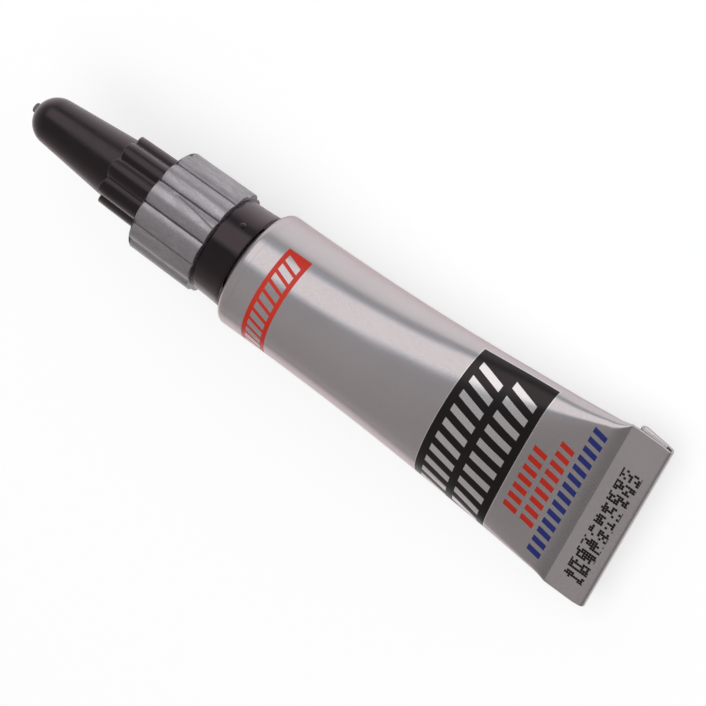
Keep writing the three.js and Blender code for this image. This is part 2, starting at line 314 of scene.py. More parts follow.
class PrintSizes(bpy.types.PropertyGroup):
    """Where the plain print lies on the tube, measured on the flat sheet before it was rolled."""

    edge: length("Print edge", 1.3, "From the shoulder's edge to the line where the lacquer starts")
    edge_width: length("Print edge width", 0.1, "Width of the line where the lacquer starts")
    red_front: length("Red panel front", 3.52, "From the shoulder's edge to the red panel")
    red_rear: length("Red panel rear", 6.47, "From the shoulder's edge to the red panel's far side")
    red_low: length("Red panel start", 9.0, "Start of the red panel down the other side")
    red_high: length("Red panel end", 7.26, "End of the red panel up the side")
    black_front: length("Black panel front", 26.1, "From the shoulder's edge to the black panel")
    black_rear: length("Black panel rear", 35.1, "From the shoulder's edge to its far side")
    black_high: length("Black panel end", 9.95, "End of the black panel up the side")
    outline: length("Black panel edge", 0.09, "Width of the pale line round the black panel")
    code_front: length("Dots front", 44.5, "From the shoulder's edge to the ink dots")
    code_rear: length("Dots rear", 46.9, "From the shoulder's edge to the ink dots' far side")
    code_low: length("Dots start", 8.3, "Start of the ink dots down the other side")
    code_high: length("Dots end", 6.2, "End of the ink dots up the side")
    dot_pitch: length("Dot pitch", 0.3, "Distance between two ink dots")
    dot_block: share("Dot block", 5.0, "Columns of dots in a block with its gap")
    slant: share("Bar slant", 0.35, "How far the plain bars lean")
    fill: share("Bar fill", 0.55, "Width of a plain bar, as a share of its pitch")
    band_fill: share("Red band fill", 0.65, "Share of the red band's length that is bare bars")
    panel_fill: share("Black panel fill", 0.48, "Share of the black panel's width that is bare bars")


class Colours(bpy.types.PropertyGroup):
    """Colours of the finishes."""

    silver: colour("Silver", 0.62, 0.568, 0.578, "Silver lacquer of the tube")
    bare: colour("Bare metal", 0.7, 0.68, 0.68, "Bare aluminium of the neck")
    red: colour("Red", 0.57, 0.026, 0.01, "Red ink of the panel")
    row_red: colour("Row red", 0.46, 0.021, 0.0085, "Red ink of the bar rows")
    ink_sheen: colour("Ink sheen", 1.0, 0.84, 0.85, "Tint of the light on lacquer and inks")
    black: colour("Black ink", 0.006, 0.005, 0.0055, "Black ink")
    blue: colour("Blue", 0.0145, 0.0255, 0.155, "Blue ink")
    pale: colour("Pale line", 0.85, 0.8, 0.8, "Pale line round the black panel")
    jet: colour("Black plastic", 0.002, 0.0016, 0.0016, "Black plastic of the cap and the ring")
    sheen: colour("Black sheen", 1.0, 0.785, 0.84, "Tint of the light on black plastic")
    # Painted highlight: a pale tone for the gate nub that stands in for the glint on its broken-off
    # end.
    painted_nub_glint: colour("Nub painted glint", 0.16, 0.14, 0.13, "Torn end of the gate nub")
    grip: colour("Grip", 0.413, 0.382, 0.4, "Silver-grey plastic of the nozzle")
    foil: colour("Foil", 0.8, 0.79, 0.78, "Membrane and bare foil")
    latex: colour("Latex", 0.62, 0.5, 0.28, "End seal")
    film: colour("Seal film", 0.8, 0.76, 0.8, "Seal film in the hem")
    glue: colour("Glue", 0.8, 0.76, 0.62, "Glue")
    steel: colour("Steel", 0.56, 0.55, 0.55, "Pin wire")
    cool: colour("Cool room", 0.86, 0.95, 1.0, "Room on the softbox's side")
    warm: colour("Warm room", 1.0, 0.962, 0.952, "Room on the far side")
    light: colour("Softbox light", 1.0, 0.955, 0.935, "Light from the middle of the softbox")
    edge_light: colour("Softbox edge light", 0.72, 0.86, 1.0, "Light from the softbox's dim edge")
    floor: colour("Floor", 0.9, 0.9, 0.9, "Floor that the tube lies on")


class StageSettings(bpy.types.PropertyGroup):
    """Camera, floor and light."""

    aim: FloatVectorProperty(
        name="Aim",
        description="Point that the camera looks at",
        default=(-5.054 * MM, 1.147 * MM, 7.0 * MM),
        subtype="XYZ",
        unit="LENGTH",
        precision=5,
    )
    distance: length("Distance", 414.06, "From the aim to the camera")
    azimuth: angle("Azimuth", -31.688, "Way round the tube, from the front")
    elevation: angle("Elevation", 55.237, "Height of the camera over the floor's plane")
    roll: angle("Roll", -115.275, "Turn of the picture")
    focal_pixels: share("Focal length", 4000, "Focal length in pixels of the picture")
    floor: length("Floor", 6000, "Side of the floor")
    room: share("Room light", 0.28, "Brightness of the room round the tube")
    horizon: share("Horizon light", 0.1, "How much brighter the room is low down")
    tail_shade: share("Tail shade", 0.4, "How bright the room is behind the tube's tail, as a share")
    softbox: share("Softbox light", 1.19, "Brightness of the softbox's face")
    softbox_distance: length("Softbox distance", 700, "From the tube to the softbox")
    softbox_height: angle("Softbox height", 40, "Height of the softbox's middle over the floor")
    softbox_width: length("Softbox width", 1500, "Width of the softbox")
    softbox_depth: length("Softbox depth", 560, "Height of the softbox's face")
    softbox_edge: share("Softbox edge", 0.32, "Share of the light from the softbox's wide edge")
    edge_spread: share("Edge spread", 1.28, "How much larger the softbox is with its dim edge")
    fill: share("Fill light", 1.2, "Brightness of the overhead fill, which no surface mirrors")
    fill_size: length("Fill size", 2000, "Side of the overhead fill")
    fill_height: length("Fill height", 1500, "Height of the overhead fill")
    glow: share("Floor glow", 0.68, "White that the floor adds for the camera")
    floor_share: share("Floor shading", 0.42, "How much of the floor's shading the camera sees")
    # A painted pool of light on the floor, seen only in reflections: its brightness by the tube and far
    # off, and how fast it fades.
    painted_pool_near: share("Near shine", 1.22, "How bright the floor by the tube looks in reflections")
    painted_pool_far: share("Far shine", 0.42, "How bright the floor far off looks in reflections")
    painted_pool_reach: length("Shine reach", 75, "Distance in which the floor's shine falls half way")


# Modelling helpers


def clear_selection():
    """Goes to object mode with nothing selected."""
    if bpy.context.mode != "OBJECT":
        bpy.ops.object.mode_set(mode="OBJECT")
    bpy.ops.object.select_all(action="DESELECT")


def select_only(piece):
    """Makes a piece the one that operators act on."""
    clear_selection()
    piece.select_set(True)
    bpy.context.view_layer.objects.active = piece


def edit_all():
    """Goes to edit mode with everything selected."""
    bpy.ops.object.mode_set(mode="EDIT")
    bpy.ops.mesh.select_all(action="SELECT")


def close_skin():
    """Closes what is open, turns the faces out and goes back to object mode."""
    bpy.ops.mesh.fill_holes(sides=0)
    bpy.ops.mesh.normals_make_consistent(inside=False)
    bpy.ops.object.mode_set(mode="OBJECT")


def turned(name, stations, points):
    """A skin round the tube's axis, drawn ring by ring by extruding and resizing in edit mode.

    A last ring that lies on the first is joined to it.
    """
    x, radius = stations[0]
    clear_selection()
    bpy.ops.mesh.primitive_circle_add(
        vertices=points, radius=radius, location=(x, 0, 0), rotation=(0, QUARTER_TURN, 0)
    )
    bpy.ops.object.transform_apply(location=True, rotation=True, scale=True)
    piece = bpy.context.object
    piece.name = name
    piece.data.name = name
    edit_all()
    for next_x, next_radius in stations[1:]:
        grow = next_radius / radius
        bpy.ops.mesh.extrude_edges_move(TRANSFORM_OT_translate={"value": (next_x - x, 0, 0)})
        bpy.ops.transform.resize(value=(1, grow, grow), center_override=(next_x, 0, 0))
        x = next_x
        radius = next_radius
    bpy.ops.mesh.select_all(action="SELECT")
    bpy.ops.mesh.remove_doubles(threshold=WELD)
    close_skin()
    return piece


def spaced(first, last, steps):
    """Evenly spaced numbers from first to last."""
    return [first + (last - first) * i / steps for i in range(steps + 1)]


def unit(value):
    """A value held between 0 and 1."""
    return min(1.0, max(0.0, value))


def arc(centre_x, centre_radius, size, start, end, steps):
    """Stations on an arc in the plane of the axis, with angles from the radius towards the nozzle."""
    return [
        (centre_x + size * math.sin(a), centre_radius + size * math.cos(a))
        for a in spaced(start, end, steps)
    ]


def reshape(piece, rule):
    """Moves each point of a piece by a rule."""
    for vertex in piece.data.vertices:
        vertex.co = rule(vertex.co)
    piece.data.update()


def polar(x, radius, turn):
    """Point at a place along the axis, a radius and an angle round it, from -y towards z."""
    return Vector((x, -radius * math.cos(turn), radius * math.sin(turn)))


def smooth(piece, sharp=30):
    """Shades a piece smooth, apart from edges sharper than an angle in degrees."""
    select_only(piece)
    bpy.ops.object.shade_smooth_by_angle(angle=math.radians(sharp))


def set_down(piece, body, material, slot, *nodes):
    """Sets a piece down in the part's frame, on its body and in place of its CAD nodes."""
    select_only(piece)
    piece.matrix_world = SET_DOWN @ piece.matrix_world
    bpy.ops.object.transform_apply(location=True, rotation=True, scale=True)
    piece.data.materials.clear()
    piece.data.materials.append(material)
    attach(piece, body)
    if nodes:
        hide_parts(*nodes)


def join(name, *pieces):
    """Joins pieces into the first one."""
    clear_selection()
    for piece in pieces:
        piece.select_set(True)
    bpy.context.view_layer.objects.active = pieces[0]
    bpy.ops.object.join()
    pieces[0].name = name
    return pieces[0]


def thread_ridge(name, first, last, core, crest, lead, turn=0.0):
    """A ridge that winds round the axis from first to last, by the screw modifier on its section."""
    clear_selection()
    bpy.ops.mesh.primitive_circle_add(
        vertices=THREAD_SIDES,
        radius=crest - core,
        location=(first, 0, core),
        rotation=(QUARTER_TURN, 0, 0),
    )
    bpy.ops.object.transform_apply(location=True, rotation=True, scale=True)
    ridge = bpy.context.object
    ridge.name = name
    turns = (last - first) / lead
    screw = ridge.modifiers.new("Thread", "SCREW")
    screw.axis = "X"
    screw.angle = FULL_TURN * turns
    screw.screw_offset = last - first
    screw.steps = max(LEAST_THREAD_STEPS, int(turns * THREAD_STEPS))
    screw.render_steps = screw.steps
    screw.use_merge_vertices = False
    bpy.ops.object.modifier_apply(modifier=screw.name)
    edit_all()
    close_skin()
    spin = Matrix.Rotation(turn, 3, "X")
    reshape(ridge, lambda point: spin @ point)
    smooth(ridge, sharp=25)
    return ridge


# Shapes of the tube


def cone_end_radius(sizes):
    """Radius where the shoulder's cone meets the rounding of its edge."""
    return sizes.radius - sizes.fillet * (1 - math.cos(sizes.shoulder_angle))


def shoulder_x(sizes, radius):
    """Place along the axis of the shoulder's cone at a radius."""
    end_x = sizes.fillet * (math.sin(sizes.shoulder_angle) - 1)
    return end_x + (cone_end_radius(sizes) - radius) / math.tan(sizes.shoulder_angle)


def neck_top(sizes):
    """Place of the neck's mouth along the axis."""
    return shoulder_x(sizes, sizes.neck) + sizes.neck_length


def half_height(sizes, x):
    """Half the height of the pressed barrel at a place along the axis."""
    barrel = sizes.radius * (1 - sizes.flat_share * unit(-x / sizes.body) ** sizes.flat_power)
    closing = unit((-x - sizes.body + sizes.crease) / sizes.crease)
    at_crease = sizes.radius * (1 - sizes.flat_share)
    return barrel + (sizes.wall - at_crease) * closing**2


def between(knots, column):
    """Value at a column on straight lines between knots."""
    for (first, low), (last, high) in zip(knots, knots[1:]):
        if column <= last:
            return low + (high - low) * (column - first) / (last - first)
    return knots[-1][1]


@functools.lru_cache(maxsize=None)
def oval_quarter(run, height):
    """Knots of a quarter of an oval of a given length: way along it against place across and up."""
    width = run
    for _ in range(OVAL_TRIES):
        across = [(0.0, 0.0)]
        up = [(0.0, height)]
        for turn in spaced(0, QUARTER_TURN, OVAL_STEPS)[1:]:
            place = (width * math.sin(turn), height * math.cos(turn))
            step = math.hypot(place[0] - across[-1][1], place[1] - up[-1][1])
            way = across[-1][0] + step
            across.append((way, place[0]))
            up.append((way, place[1]))
        width *= run / across[-1][0]
    return across, up


def on_oval(sizes, x, girth, inset):
    """Place across and up of a point of the barrel, as if its section were an oval."""
    run = math.pi * sizes.radius / 2
    height = sizes.radius * (1 - sizes.oval_share * unit(-x / sizes.body) ** sizes.oval_power)
    across_knots, up_knots = oval_quarter(run, height)
    along = run - abs(abs(girth) - run)
    across = between(across_knots, along)
    up = between(up_knots, along)
    width = across_knots[-1][1]
    out = Vector((across / width**2, up / height**2)).normalized()
    across -= inset * out.x
    up -= inset * out.y
    return math.copysign(across, girth), math.copysign(up, run - abs(girth))


def oval_part(sizes, x, girth):
    """How much of the section is an oval at a place, as its tail and its underside stay flat."""
    way = unit((-x / sizes.body - sizes.oval_end) / (sizes.flat_start - sizes.oval_end))
    under = max(0.0, abs(girth) / sizes.radius - QUARTER_TURN)
    return (1 - way * way * (3 - 2 * way)) * math.cos(under) ** 2


def fold_runs(sizes):
    """The runs of the strip behind the crease, each with its length, bend radius and turn."""
    end_turn = math.pi - sizes.hem_spring
    roll_turn = math.pi + sizes.back_spring
    panel = sizes.crimp - sizes.end_bend - sizes.wall
    return [
        (panel, 0.0, 0.0),
        (end_turn * sizes.end_bend, sizes.end_bend, end_turn),
        (sizes.hem, 0.0, 0.0),
        (roll_turn * sizes.roll, sizes.roll, roll_turn),
        (sizes.back, 0.0, 0.0),
    ]


def folded(sizes, distance):
    """Place and face of the strip at a distance behind the crease, after it has been folded."""
    place = Vector((-sizes.body, 0, -sizes.drop))
    heading = 0.0
    for run, radius, turn in fold_runs(sizes):
        part = min(max(distance, 0.0), run)
        distance -= run
        if radius:
            pivot = place + radius * Vector((math.sin(heading), 0, -math.cos(heading)))
            heading += turn * part / run
            place = pivot + radius * Vector((-math.sin(heading), 0, math.cos(heading)))
        else:
            place = place + part * Vector((-math.cos(heading), 0, -math.sin(heading)))
        if distance <= 0:
            break
    return place, Vector((-math.sin(heading), 0, math.cos(heading)))


def crowd_sides(point):
    """Draws the columns of a round tube together at its two sides, where the folded edges turn."""
    out = math.hypot(point.y, point.z)
    turn = math.atan2(point.y, point.z)
    turn += SIDE_CROWDING * math.sin(2 * turn)
    return Vector((point.x, out * math.sin(turn), out * math.cos(turn)))


def press(sizes, point):
    """Where a point of the round tube goes when its end is pressed flat and folded."""
    if point.x > 0:
        return point
    inset = sizes.radius - math.hypot(point.y, point.z)
    girth = sizes.radius * math.atan2(point.y, point.z)
    height = half_height(sizes, point.x)
    flat = (sizes.radius - height) * math.pi / 2
    across = min(abs(girth), flat, math.pi * sizes.radius - abs(girth))
    turn = min(max(abs(girth) - flat, 0.0) / height, math.pi)
    across = math.copysign(across + (height - inset) * math.sin(turn), girth)
    up = (height - inset) * math.cos(turn)
    part = oval_part(sizes, point.x, girth)
    if part > 0:
        oval_across, oval_up = on_oval(sizes, point.x, girth, inset)
        across += part * (oval_across - across)
        up += part * (oval_up - up)
    behind = -point.x - sizes.body
    if behind <= 0:
        return Vector((point.x, across, up + sizes.drop * point.x / sizes.body))
    place, face = folded(sizes, behind)
    from_bend = behind - fold_runs(sizes)[0][0] - sizes.end_bend
    pinch = sizes.pinch * math.exp(-((from_bend / (sizes.pinch_reach * sizes.end_bend)) ** 2))
    across *= 1 - pinch / (math.pi * sizes.radius / 2)
    return place + face * up + Vector((0, across, 0))


def cavity_stations(sizes, end, gap):
    """Stations of the tube's inside, drawn in by a gap, from an end in the barrel to the mouth."""
    depth = sizes.shoulder_wall / math.sin(sizes.shoulder_angle) + gap
    cone_end = cone_end_radius(sizes)
    barrel = sizes.radius - sizes.wall - gap
    return [(x, barrel) for x in spaced(end, -sizes.fillet, CAVITY_STEPS)] + [
        (shoulder_x(sizes, cone_end) - depth, cone_end - sizes.wall - gap),
        (shoulder_x(sizes, sizes.neck_bore) - depth, sizes.neck_bore - gap),
        (neck_top(sizes) - gap, sizes.neck_bore - gap),
    ]


def tube_stations(sizes):
    """Stations of the round tube before it is pressed: inside, mouth, shoulder, barrel and strip."""
    cavity_end = sizes.crease - sizes.body
    rim = sizes.neck_rim
    stations = cavity_stations(sizes, cavity_end, 0.0)
    stations += arc(neck_top(sizes) - rim, sizes.neck_core - rim, rim, QUARTER_TURN, 0, RIM_STEPS)
    stations.append((shoulder_x(sizes, sizes.neck_core), sizes.neck_core))
    stations += arc(
        -sizes.fillet,
        sizes.radius - sizes.fillet,
        sizes.fillet,
        sizes.shoulder_angle,
        0,
        FILLET_STEPS,
    )
    start = -sizes.fillet
    lengths = [(-sizes.fillet - cavity_end, BARREL_STEPS), (sizes.crease, CREASE_STEPS)]
    lengths += [(run, BEND_STEPS if radius else STRIP_STEPS) for run, radius, _ in fold_runs(sizes)]
    for run, steps in lengths:
        stations += [(x, sizes.radius) for x in spaced(start, start - run, steps)[1:]]
        start -= run
    return stations


# Shapes of the moulded pieces


def lobe_place(point, copies):
    """Copy that a point belongs to and its place from 0 to 1 across it, from the first column on."""
    turns = (math.atan2(point.z, -point.y) / FULL_TURN) % 1.0 * copies
    copy = math.floor(turns + COLUMN_SLACK)
    return copy % copies, max(0.0, turns - copy)


def wedge_line(sizes, x):
    """Place across its lobe of the line that runs out from the groove towards the grip's rear."""
    way = (x - grip_rear_x(sizes)) / sizes.wedge
    return max(sizes.wedge_share * (1 - way), sizes.wedge_end * sizes.groove_share)


def lobe_part(sizes, x, copy, column):
    """Place across a lobe of one of its columns, some of which run along the grooves."""
    edge = sizes.groove_share
    knots = [(0, 0.0), (1, edge), (LOBE_POINTS - 1, 1 - edge), (LOBE_POINTS, 1.0)]
    if copy == sizes.wedge_lobe:
        line = wedge_line(sizes, x)
        knots[2:2] = [
            (WEDGE_COLUMN - 1, line - edge),
            (WEDGE_COLUMN, line),
            (WEDGE_COLUMN + 1, line + edge),
        ]
    return between(knots, column)


def flute(sizes, x, copy, column, part):
    """How far the grip's surface lies under the lobes' crests."""
    crown = sizes.crown * (2 * part - 1) ** 2
    if column in (0, LOBE_POINTS):
        return sizes.groove
    if copy == sizes.wedge_lobe and column == WEDGE_COLUMN:
        left = (grip_rear_x(sizes) + sizes.wedge - x) / sizes.wedge
        return crown + sizes.wedge_cut * unit(WEDGE_FADE * left - WEDGE_FADE_START)
    return crown


def ring_rear_x(sizes):
    """Place of the neck ring's rear edge along the axis."""
    tube = bpy.context.scene.glue_tube
    return shoulder_x(tube, sizes.ring_rear) + sizes.gap / math.sin(tube.shoulder_angle)


def grip_rear_x(sizes):
    """Place of the grip's rear face along the axis."""
    return ring_rear_x(sizes) + sizes.ring + sizes.gap


def grip_front_x(sizes):
    """Place of the grip's front face along the axis."""
    return grip_rear_x(sizes) + sizes.grip


# Node helpers


def new_material(name):
    """A material with an empty node tree, and its Principled shader."""
    material = bpy.data.materials.new(name)
    material.use_nodes = True
    tree = material.node_tree
    tree.nodes.clear()
    output = tree.nodes.new("ShaderNodeOutputMaterial")
    shader = tree.nodes.new("ShaderNodeBsdfPrincipled")
    tree.links.new(shader.outputs["BSDF"], output.inputs["Surface"])
    return material, tree, shader


def feed(tree, made, values):
    """Gives a node's inputs, by name or number, their constants and links."""
    for name, value in values.items():
        if isinstance(value, bpy.types.NodeSocket):
            tree.links.new(value, made.inputs[name])
        else:
            made.inputs[name].default_value = value


def node(tree, kind, values=None, **settings):
    """A node with its settings and the values of its inputs."""
    made = tree.nodes.new(kind)
    for name, value in settings.items():
        setattr(made, name, value)
    feed(tree, made, values or {})
    return made


def math_node(tree, operation, first, second=0.0, third=0.0):
    """The result of a sum on links and constants."""
    values = {0: first, 1: second, 2: third}
    return node(tree, "ShaderNodeMath", values, operation=operation).outputs[0]


def combined(tree, operation, first, *others):
    """The result of one sum on several links in turn."""
    for other in others:
        first = math_node(tree, operation, first, other)
    return first


def inside(tree, value, low, high):
    """Masks of a value's two limits."""
    above = math_node(tree, "GREATER_THAN", value, low)
    below = math_node(tree, "LESS_THAN", value, high)
    return above, below


def ranged(tree, value, low, high, to_low=0.0, to_high=1.0, **settings):
    """A value held between low and high and spread from to_low to to_high."""
    values = {"Value": value, "From Min": low, "From Max": high, "To Min": to_low, "To Max": to_high}
    return node(tree, "ShaderNodeMapRange", values, **settings).outputs["Result"]


def noise(tree, place, scale, detail, **more):
    """The outputs of a noise texture."""
    values = {"Vector": place, "Scale": scale, "Detail": detail, **more}
    return node(tree, "ShaderNodeTexNoise", values).outputs


def mix_colour(tree, factor, first, second, blend="MIX"):
    """A mix of two colours, by socket numbers, as the node has several sockets of each name."""
    values = {0: factor, 6: first, 7: second}
    return node(tree, "ShaderNodeMix", values, data_type="RGBA", blend_type=blend).outputs[2]


def paired(tree, first, second):
    """A vector of two values."""
    return node(tree, "ShaderNodeCombineXYZ", {0: first, 1: second}).outputs[0]


def vector_length(tree, vector):
    """The length of a vector."""
    return node(tree, "ShaderNodeVectorMath", {0: vector}, operation="LENGTH").outputs["Value"]


def rgba(tone, factor=1.0):
    """A colour property as a node's colour, made darker or lighter by a factor."""
    return (*(factor * part for part in tone), 1.0)


def object_place(tree):
    """The Object coordinates."""
    return node(tree, "ShaderNodeTexCoord").outputs["Object"]


def bump(tree, height, depth):
    """A normal from a height, as deep as given in metres."""
    values = {"Height": height, "Distance": depth, "Strength": 1.0}
    return node(tree, "ShaderNodeBump", values).outputs["Normal"]


def new_group(name, inputs, outputs):
    """An empty node group with its sockets, which are numbers apart from a place, and its end nodes."""
    tree = bpy.data.node_groups.new(name, "ShaderNodeTree")
    for side, sockets in (("INPUT", inputs), ("OUTPUT", outputs)):
        for socket in sockets:
            kind = "NodeSocketVector" if socket == "Place" else "NodeSocketFloat"
            tree.interface.new_socket(socket, in_out=side, socket_type=kind)
    start = tree.nodes.new("NodeGroupInput")
    end = tree.nodes.new("NodeGroupOutput")
    return tree, start.outputs, end.inputs


def use_group(tree, name, maker, values):
    """The outputs of a node group in a material, made the first time that it is used."""
    group = bpy.data.node_groups.get(name) or maker(name)
    return node(tree, "ShaderNodeGroup", values, node_tree=group).outputs


# Node groups


def moulded_group(name):
    """Fine moulded texture: a grain height and a slow unevenness, from object coordinates."""
    tree, start, end = new_group(name, ("Place", "Grain size"), ("Grain", "Unevenness"))
    scale = math_node(tree, "DIVIDE", 1.0, start["Grain size"])
    slow_scale = math_node(tree, "MULTIPLY", scale, SLOW_SHARE)
    grain = noise(tree, start["Place"], scale, detail=3.0)
    slow = noise(tree, start["Place"], slow_scale, detail=2.0)
    tree.links.new(grain["Fac"], end["Grain"])
    tree.links.new(slow["Fac"], end["Unevenness"])
    return tree


def panel_group(name):
    """Mask of a rectangle of print on the flat sheet."""
    inputs = ("Along", "Around", "Front", "Rear", "Low", "High")
    tree, start, end = new_group(name, inputs, ("Mask",))
    along = inside(tree, start["Along"], start["Front"], start["Rear"])
    around = inside(tree, start["Around"], start["Low"], start["High"])
    mask = combined(tree, "MULTIPLY", *along, *around)
    tree.links.new(mask, end["Mask"])
    return tree


def bars_group(name):
    """Mask of a row of plain slanted bars, from a first one on, as many as given."""
    inputs = ("Along", "Around", "Front", "Rear", "First", "Pitch", "Fill", "Bars", "Slant")
    tree, start, end = new_group(name, inputs, ("Mask",))
    down = math_node(tree, "SUBTRACT", start["Along"], start["Front"])
    lean = math_node(tree, "MULTIPLY_ADD", down, start["Slant"], start["Around"])
    from_first = math_node(tree, "SUBTRACT", start["First"], lean)
    bar = math_node(tree, "DIVIDE", from_first, start["Pitch"])
    in_bar = math_node(tree, "LESS_THAN", math_node(tree, "FRACT", bar), start["Fill"])
    in_row = inside(tree, bar, 0.0, start["Bars"])
    along = inside(tree, start["Along"], start["Front"], start["Rear"])
    mask = combined(tree, "MULTIPLY", in_bar, *in_row, *along)
    tree.links.new(mask, end["Mask"])
    return tree


def dots_group(name):
    """Mask of ink-jet dots on a square grid, some left out, in blocks with a gap between them."""
    tree, start, end = new_group(name, ("Along", "Around", "Pitch", "Block"), ("Mask",))
    places = [math_node(tree, "DIVIDE", start[way], start["Pitch"]) for way in ("Around", "Along")]
    cell = paired(tree, *(math_node(tree, "FLOOR", place) for place in places))
    chance = node(tree, "ShaderNodeTexWhiteNoise", {"Vector": cell}, noise_dimensions="2D")
    in_cell = [math_node(tree, "FRACT", place) for place in places]
    from_middle = paired(tree, *(math_node(tree, "SUBTRACT", place, 0.5) for place in in_cell))
    in_block = math_node(tree, "FRACT", math_node(tree, "DIVIDE", places[0], start["Block"]))
    mask = combined(
        tree,
        "MULTIPLY",
        math_node(tree, "LESS_THAN", vector_length(tree, from_middle), DOT_RADIUS),
        math_node(tree, "GREATER_THAN", chance.outputs["Value"], EMPTY_DOTS),
        math_node(tree, "GREATER_THAN", in_block, BLOCK_GAP),
    )
    tree.links.new(mask, end["Mask"])
    return tree


# Materials


def moulded_plastic(name, tone, roughness, grain_size, grain_depth):
    """Satin moulded plastic with a fine grain and a slow unevenness of its gloss."""
    material, tree, shader = new_material(name)
    values = {"Place": object_place(tree), "Grain size": grain_size}
    texture = use_group(tree, "Moulded texture", moulded_group, values)
    uneven = ranged(
        tree,
        texture["Unevenness"],
        low=0.3,
        high=0.7,
        to_low=roughness - GLOSS_SPREAD,
        to_high=roughness + GLOSS_SPREAD,
    )
    mixed = mix_colour(tree, texture["Unevenness"], rgba(tone, factor=0.8), rgba(tone))
    normal = bump(tree, texture["Grain"], grain_depth)
    feed(tree, shader, {"Base Color": mixed, "Roughness": uneven, "Normal": normal})
    return material


def jet_plastic(name, colours, roughness):
    """Satin black plastic, which throws back more light where it is seen from the side."""
    material = moulded_plastic(
        name, colours.jet, roughness, grain_size=0.12 * MM, grain_depth=0.002 * MM
    )
    tree = material.node_tree
    shader = tree.nodes["Principled BSDF"]
    rim = node(tree, "ShaderNodeLayerWeight", {"Blend": 0.5}).outputs["Facing"]
    level = ranged(tree, rim, low=0.2, high=0.8, to_low=0.72, to_high=2.0)
    sheen = rgba(colours.sheen)
    feed(tree, shader, {"Specular IOR Level": level, "Specular Tint": sheen})
    feed(tree, shader, {"Sheen Weight": 0.5, "Sheen Roughness": 0.35, "Sheen Tint": sheen})
    return material


def grip_plastic(colours):
    """Silver-grey plastic with metal flake, whose flow left pale and dark swirls."""
    material, tree, shader = new_material("Silver-grey plastic")
    place = object_place(tree)
    warp = noise(tree, place, scale=260.0, detail=2.0)["Color"]
    stretched = node(tree, "ShaderNodeMapping", {"Vector": place, "Scale": (0.35, 1.0, 1.0)})
    bent = node(
        tree,
        "ShaderNodeVectorMath",
        {0: warp, 1: (SWIRL_REACH,) * 3, 2: stretched.outputs["Vector"]},
        operation="MULTIPLY_ADD",
    ).outputs[0]
    flow = noise(tree, bent, scale=900.0, detail=6.0, Roughness=0.66, Distortion=0.8)["Fac"]
    flakes = noise(tree, place, scale=9000.0, detail=2.0)["Fac"]
    spread = ranged(tree, flow, low=0.36, high=0.64)
    dark = rgba(colours.grip, factor=0.87)
    light = rgba(colours.grip, factor=1.14)
    swirl = mix_colour(tree, spread, dark, light)
    glint = ranged(tree, flakes, low=0.35, high=0.7, to_low=0.85, to_high=1.15)
    tinted = mix_colour(tree, 1.0, swirl, glint, "MULTIPLY")
    rough = ranged(tree, spread, low=0.0, high=1.0, to_low=0.34, to_high=0.26)
    normal = bump(tree, flakes, depth=0.006 * MM)
    feed(tree, shader, {"Base Color": tinted, "Roughness": rough, "Normal": normal})
    feed(tree, shader, {"Metallic": 0.75})
    return material


def print_masks(tree, tube, layout):
    """Masks of the print on the flat sheet by name, and the mask of all its inks."""
    sheet = node(tree, "ShaderNodeAttribute", attribute_type="GEOMETRY", attribute_name=SHEET)
    parts = node(tree, "ShaderNodeSeparateXYZ", {0: sheet.outputs["Vector"]}).outputs
    along = math_node(tree, "MULTIPLY", parts["X"], -1.0)
    turn = math_node(tree, "ARCTAN2", math_node(tree, "MULTIPLY", parts["Y"], -1.0), parts["Z"])
    flat = {"Along": along, "Around": math_node(tree, "MULTIPLY", turn, tube.radius)}
    all_round = FULL_TURN * tube.radius

    def panel(front, rear, low, high):
        extent = {"Front": front, "Rear": rear, "Low": low, "High": high}
        return use_group(tree, "Print panel", panel_group, {**flat, **extent})["Mask"]

    def bars(row, fill=layout.fill):
        pattern = {**flat, **row, "Fill": fill, "Slant": layout.slant}
        return use_group(tree, "Slanted bars", bars_group, pattern)["Mask"]

    def black_panel(margin):
        end = layout.black_high + margin
        return panel(layout.black_front - margin, layout.black_rear + margin, -end, end)

    bare = combined(
        tree,
        "MAXIMUM",
        bars(BAND_ROW, layout.band_fill),
        *(bars(row, layout.panel_fill) for row in PANEL_ROWS),
    )
    shown = math_node(tree, "SUBTRACT", 1.0, bare)
    band = panel(layout.red_front, layout.red_rear, -layout.red_low, layout.red_high)
    code = panel(layout.code_front, layout.code_rear, -layout.code_low, layout.code_high)
    grid = {**flat, "Pitch": layout.dot_pitch, "Block": layout.dot_block}
    dots = use_group(tree, "Ink dots", dots_group, grid)["Mask"]
    line = layout.edge_width / 2
    masks = {
        "line": panel(layout.edge - line, layout.edge + line, -all_round, all_round),
        "outline": black_panel(layout.outline),
        "red": math_node(tree, "MULTIPLY", band, shown),
        "red_rows": combined(tree, "MAXIMUM", *(bars(row) for row in RED_ROWS)),
        "black": math_node(
            tree,
            "MAXIMUM",
            math_node(tree, "MULTIPLY", black_panel(0.0), shown),
            math_node(tree, "MULTIPLY", code, dots),
        ),
        "blue": bars(BLUE_ROW),
    }
    inks = (masks[name] for name in ("red", "red_rows", "black", "blue"))
    return masks, combined(tree, "MAXIMUM", *inks)


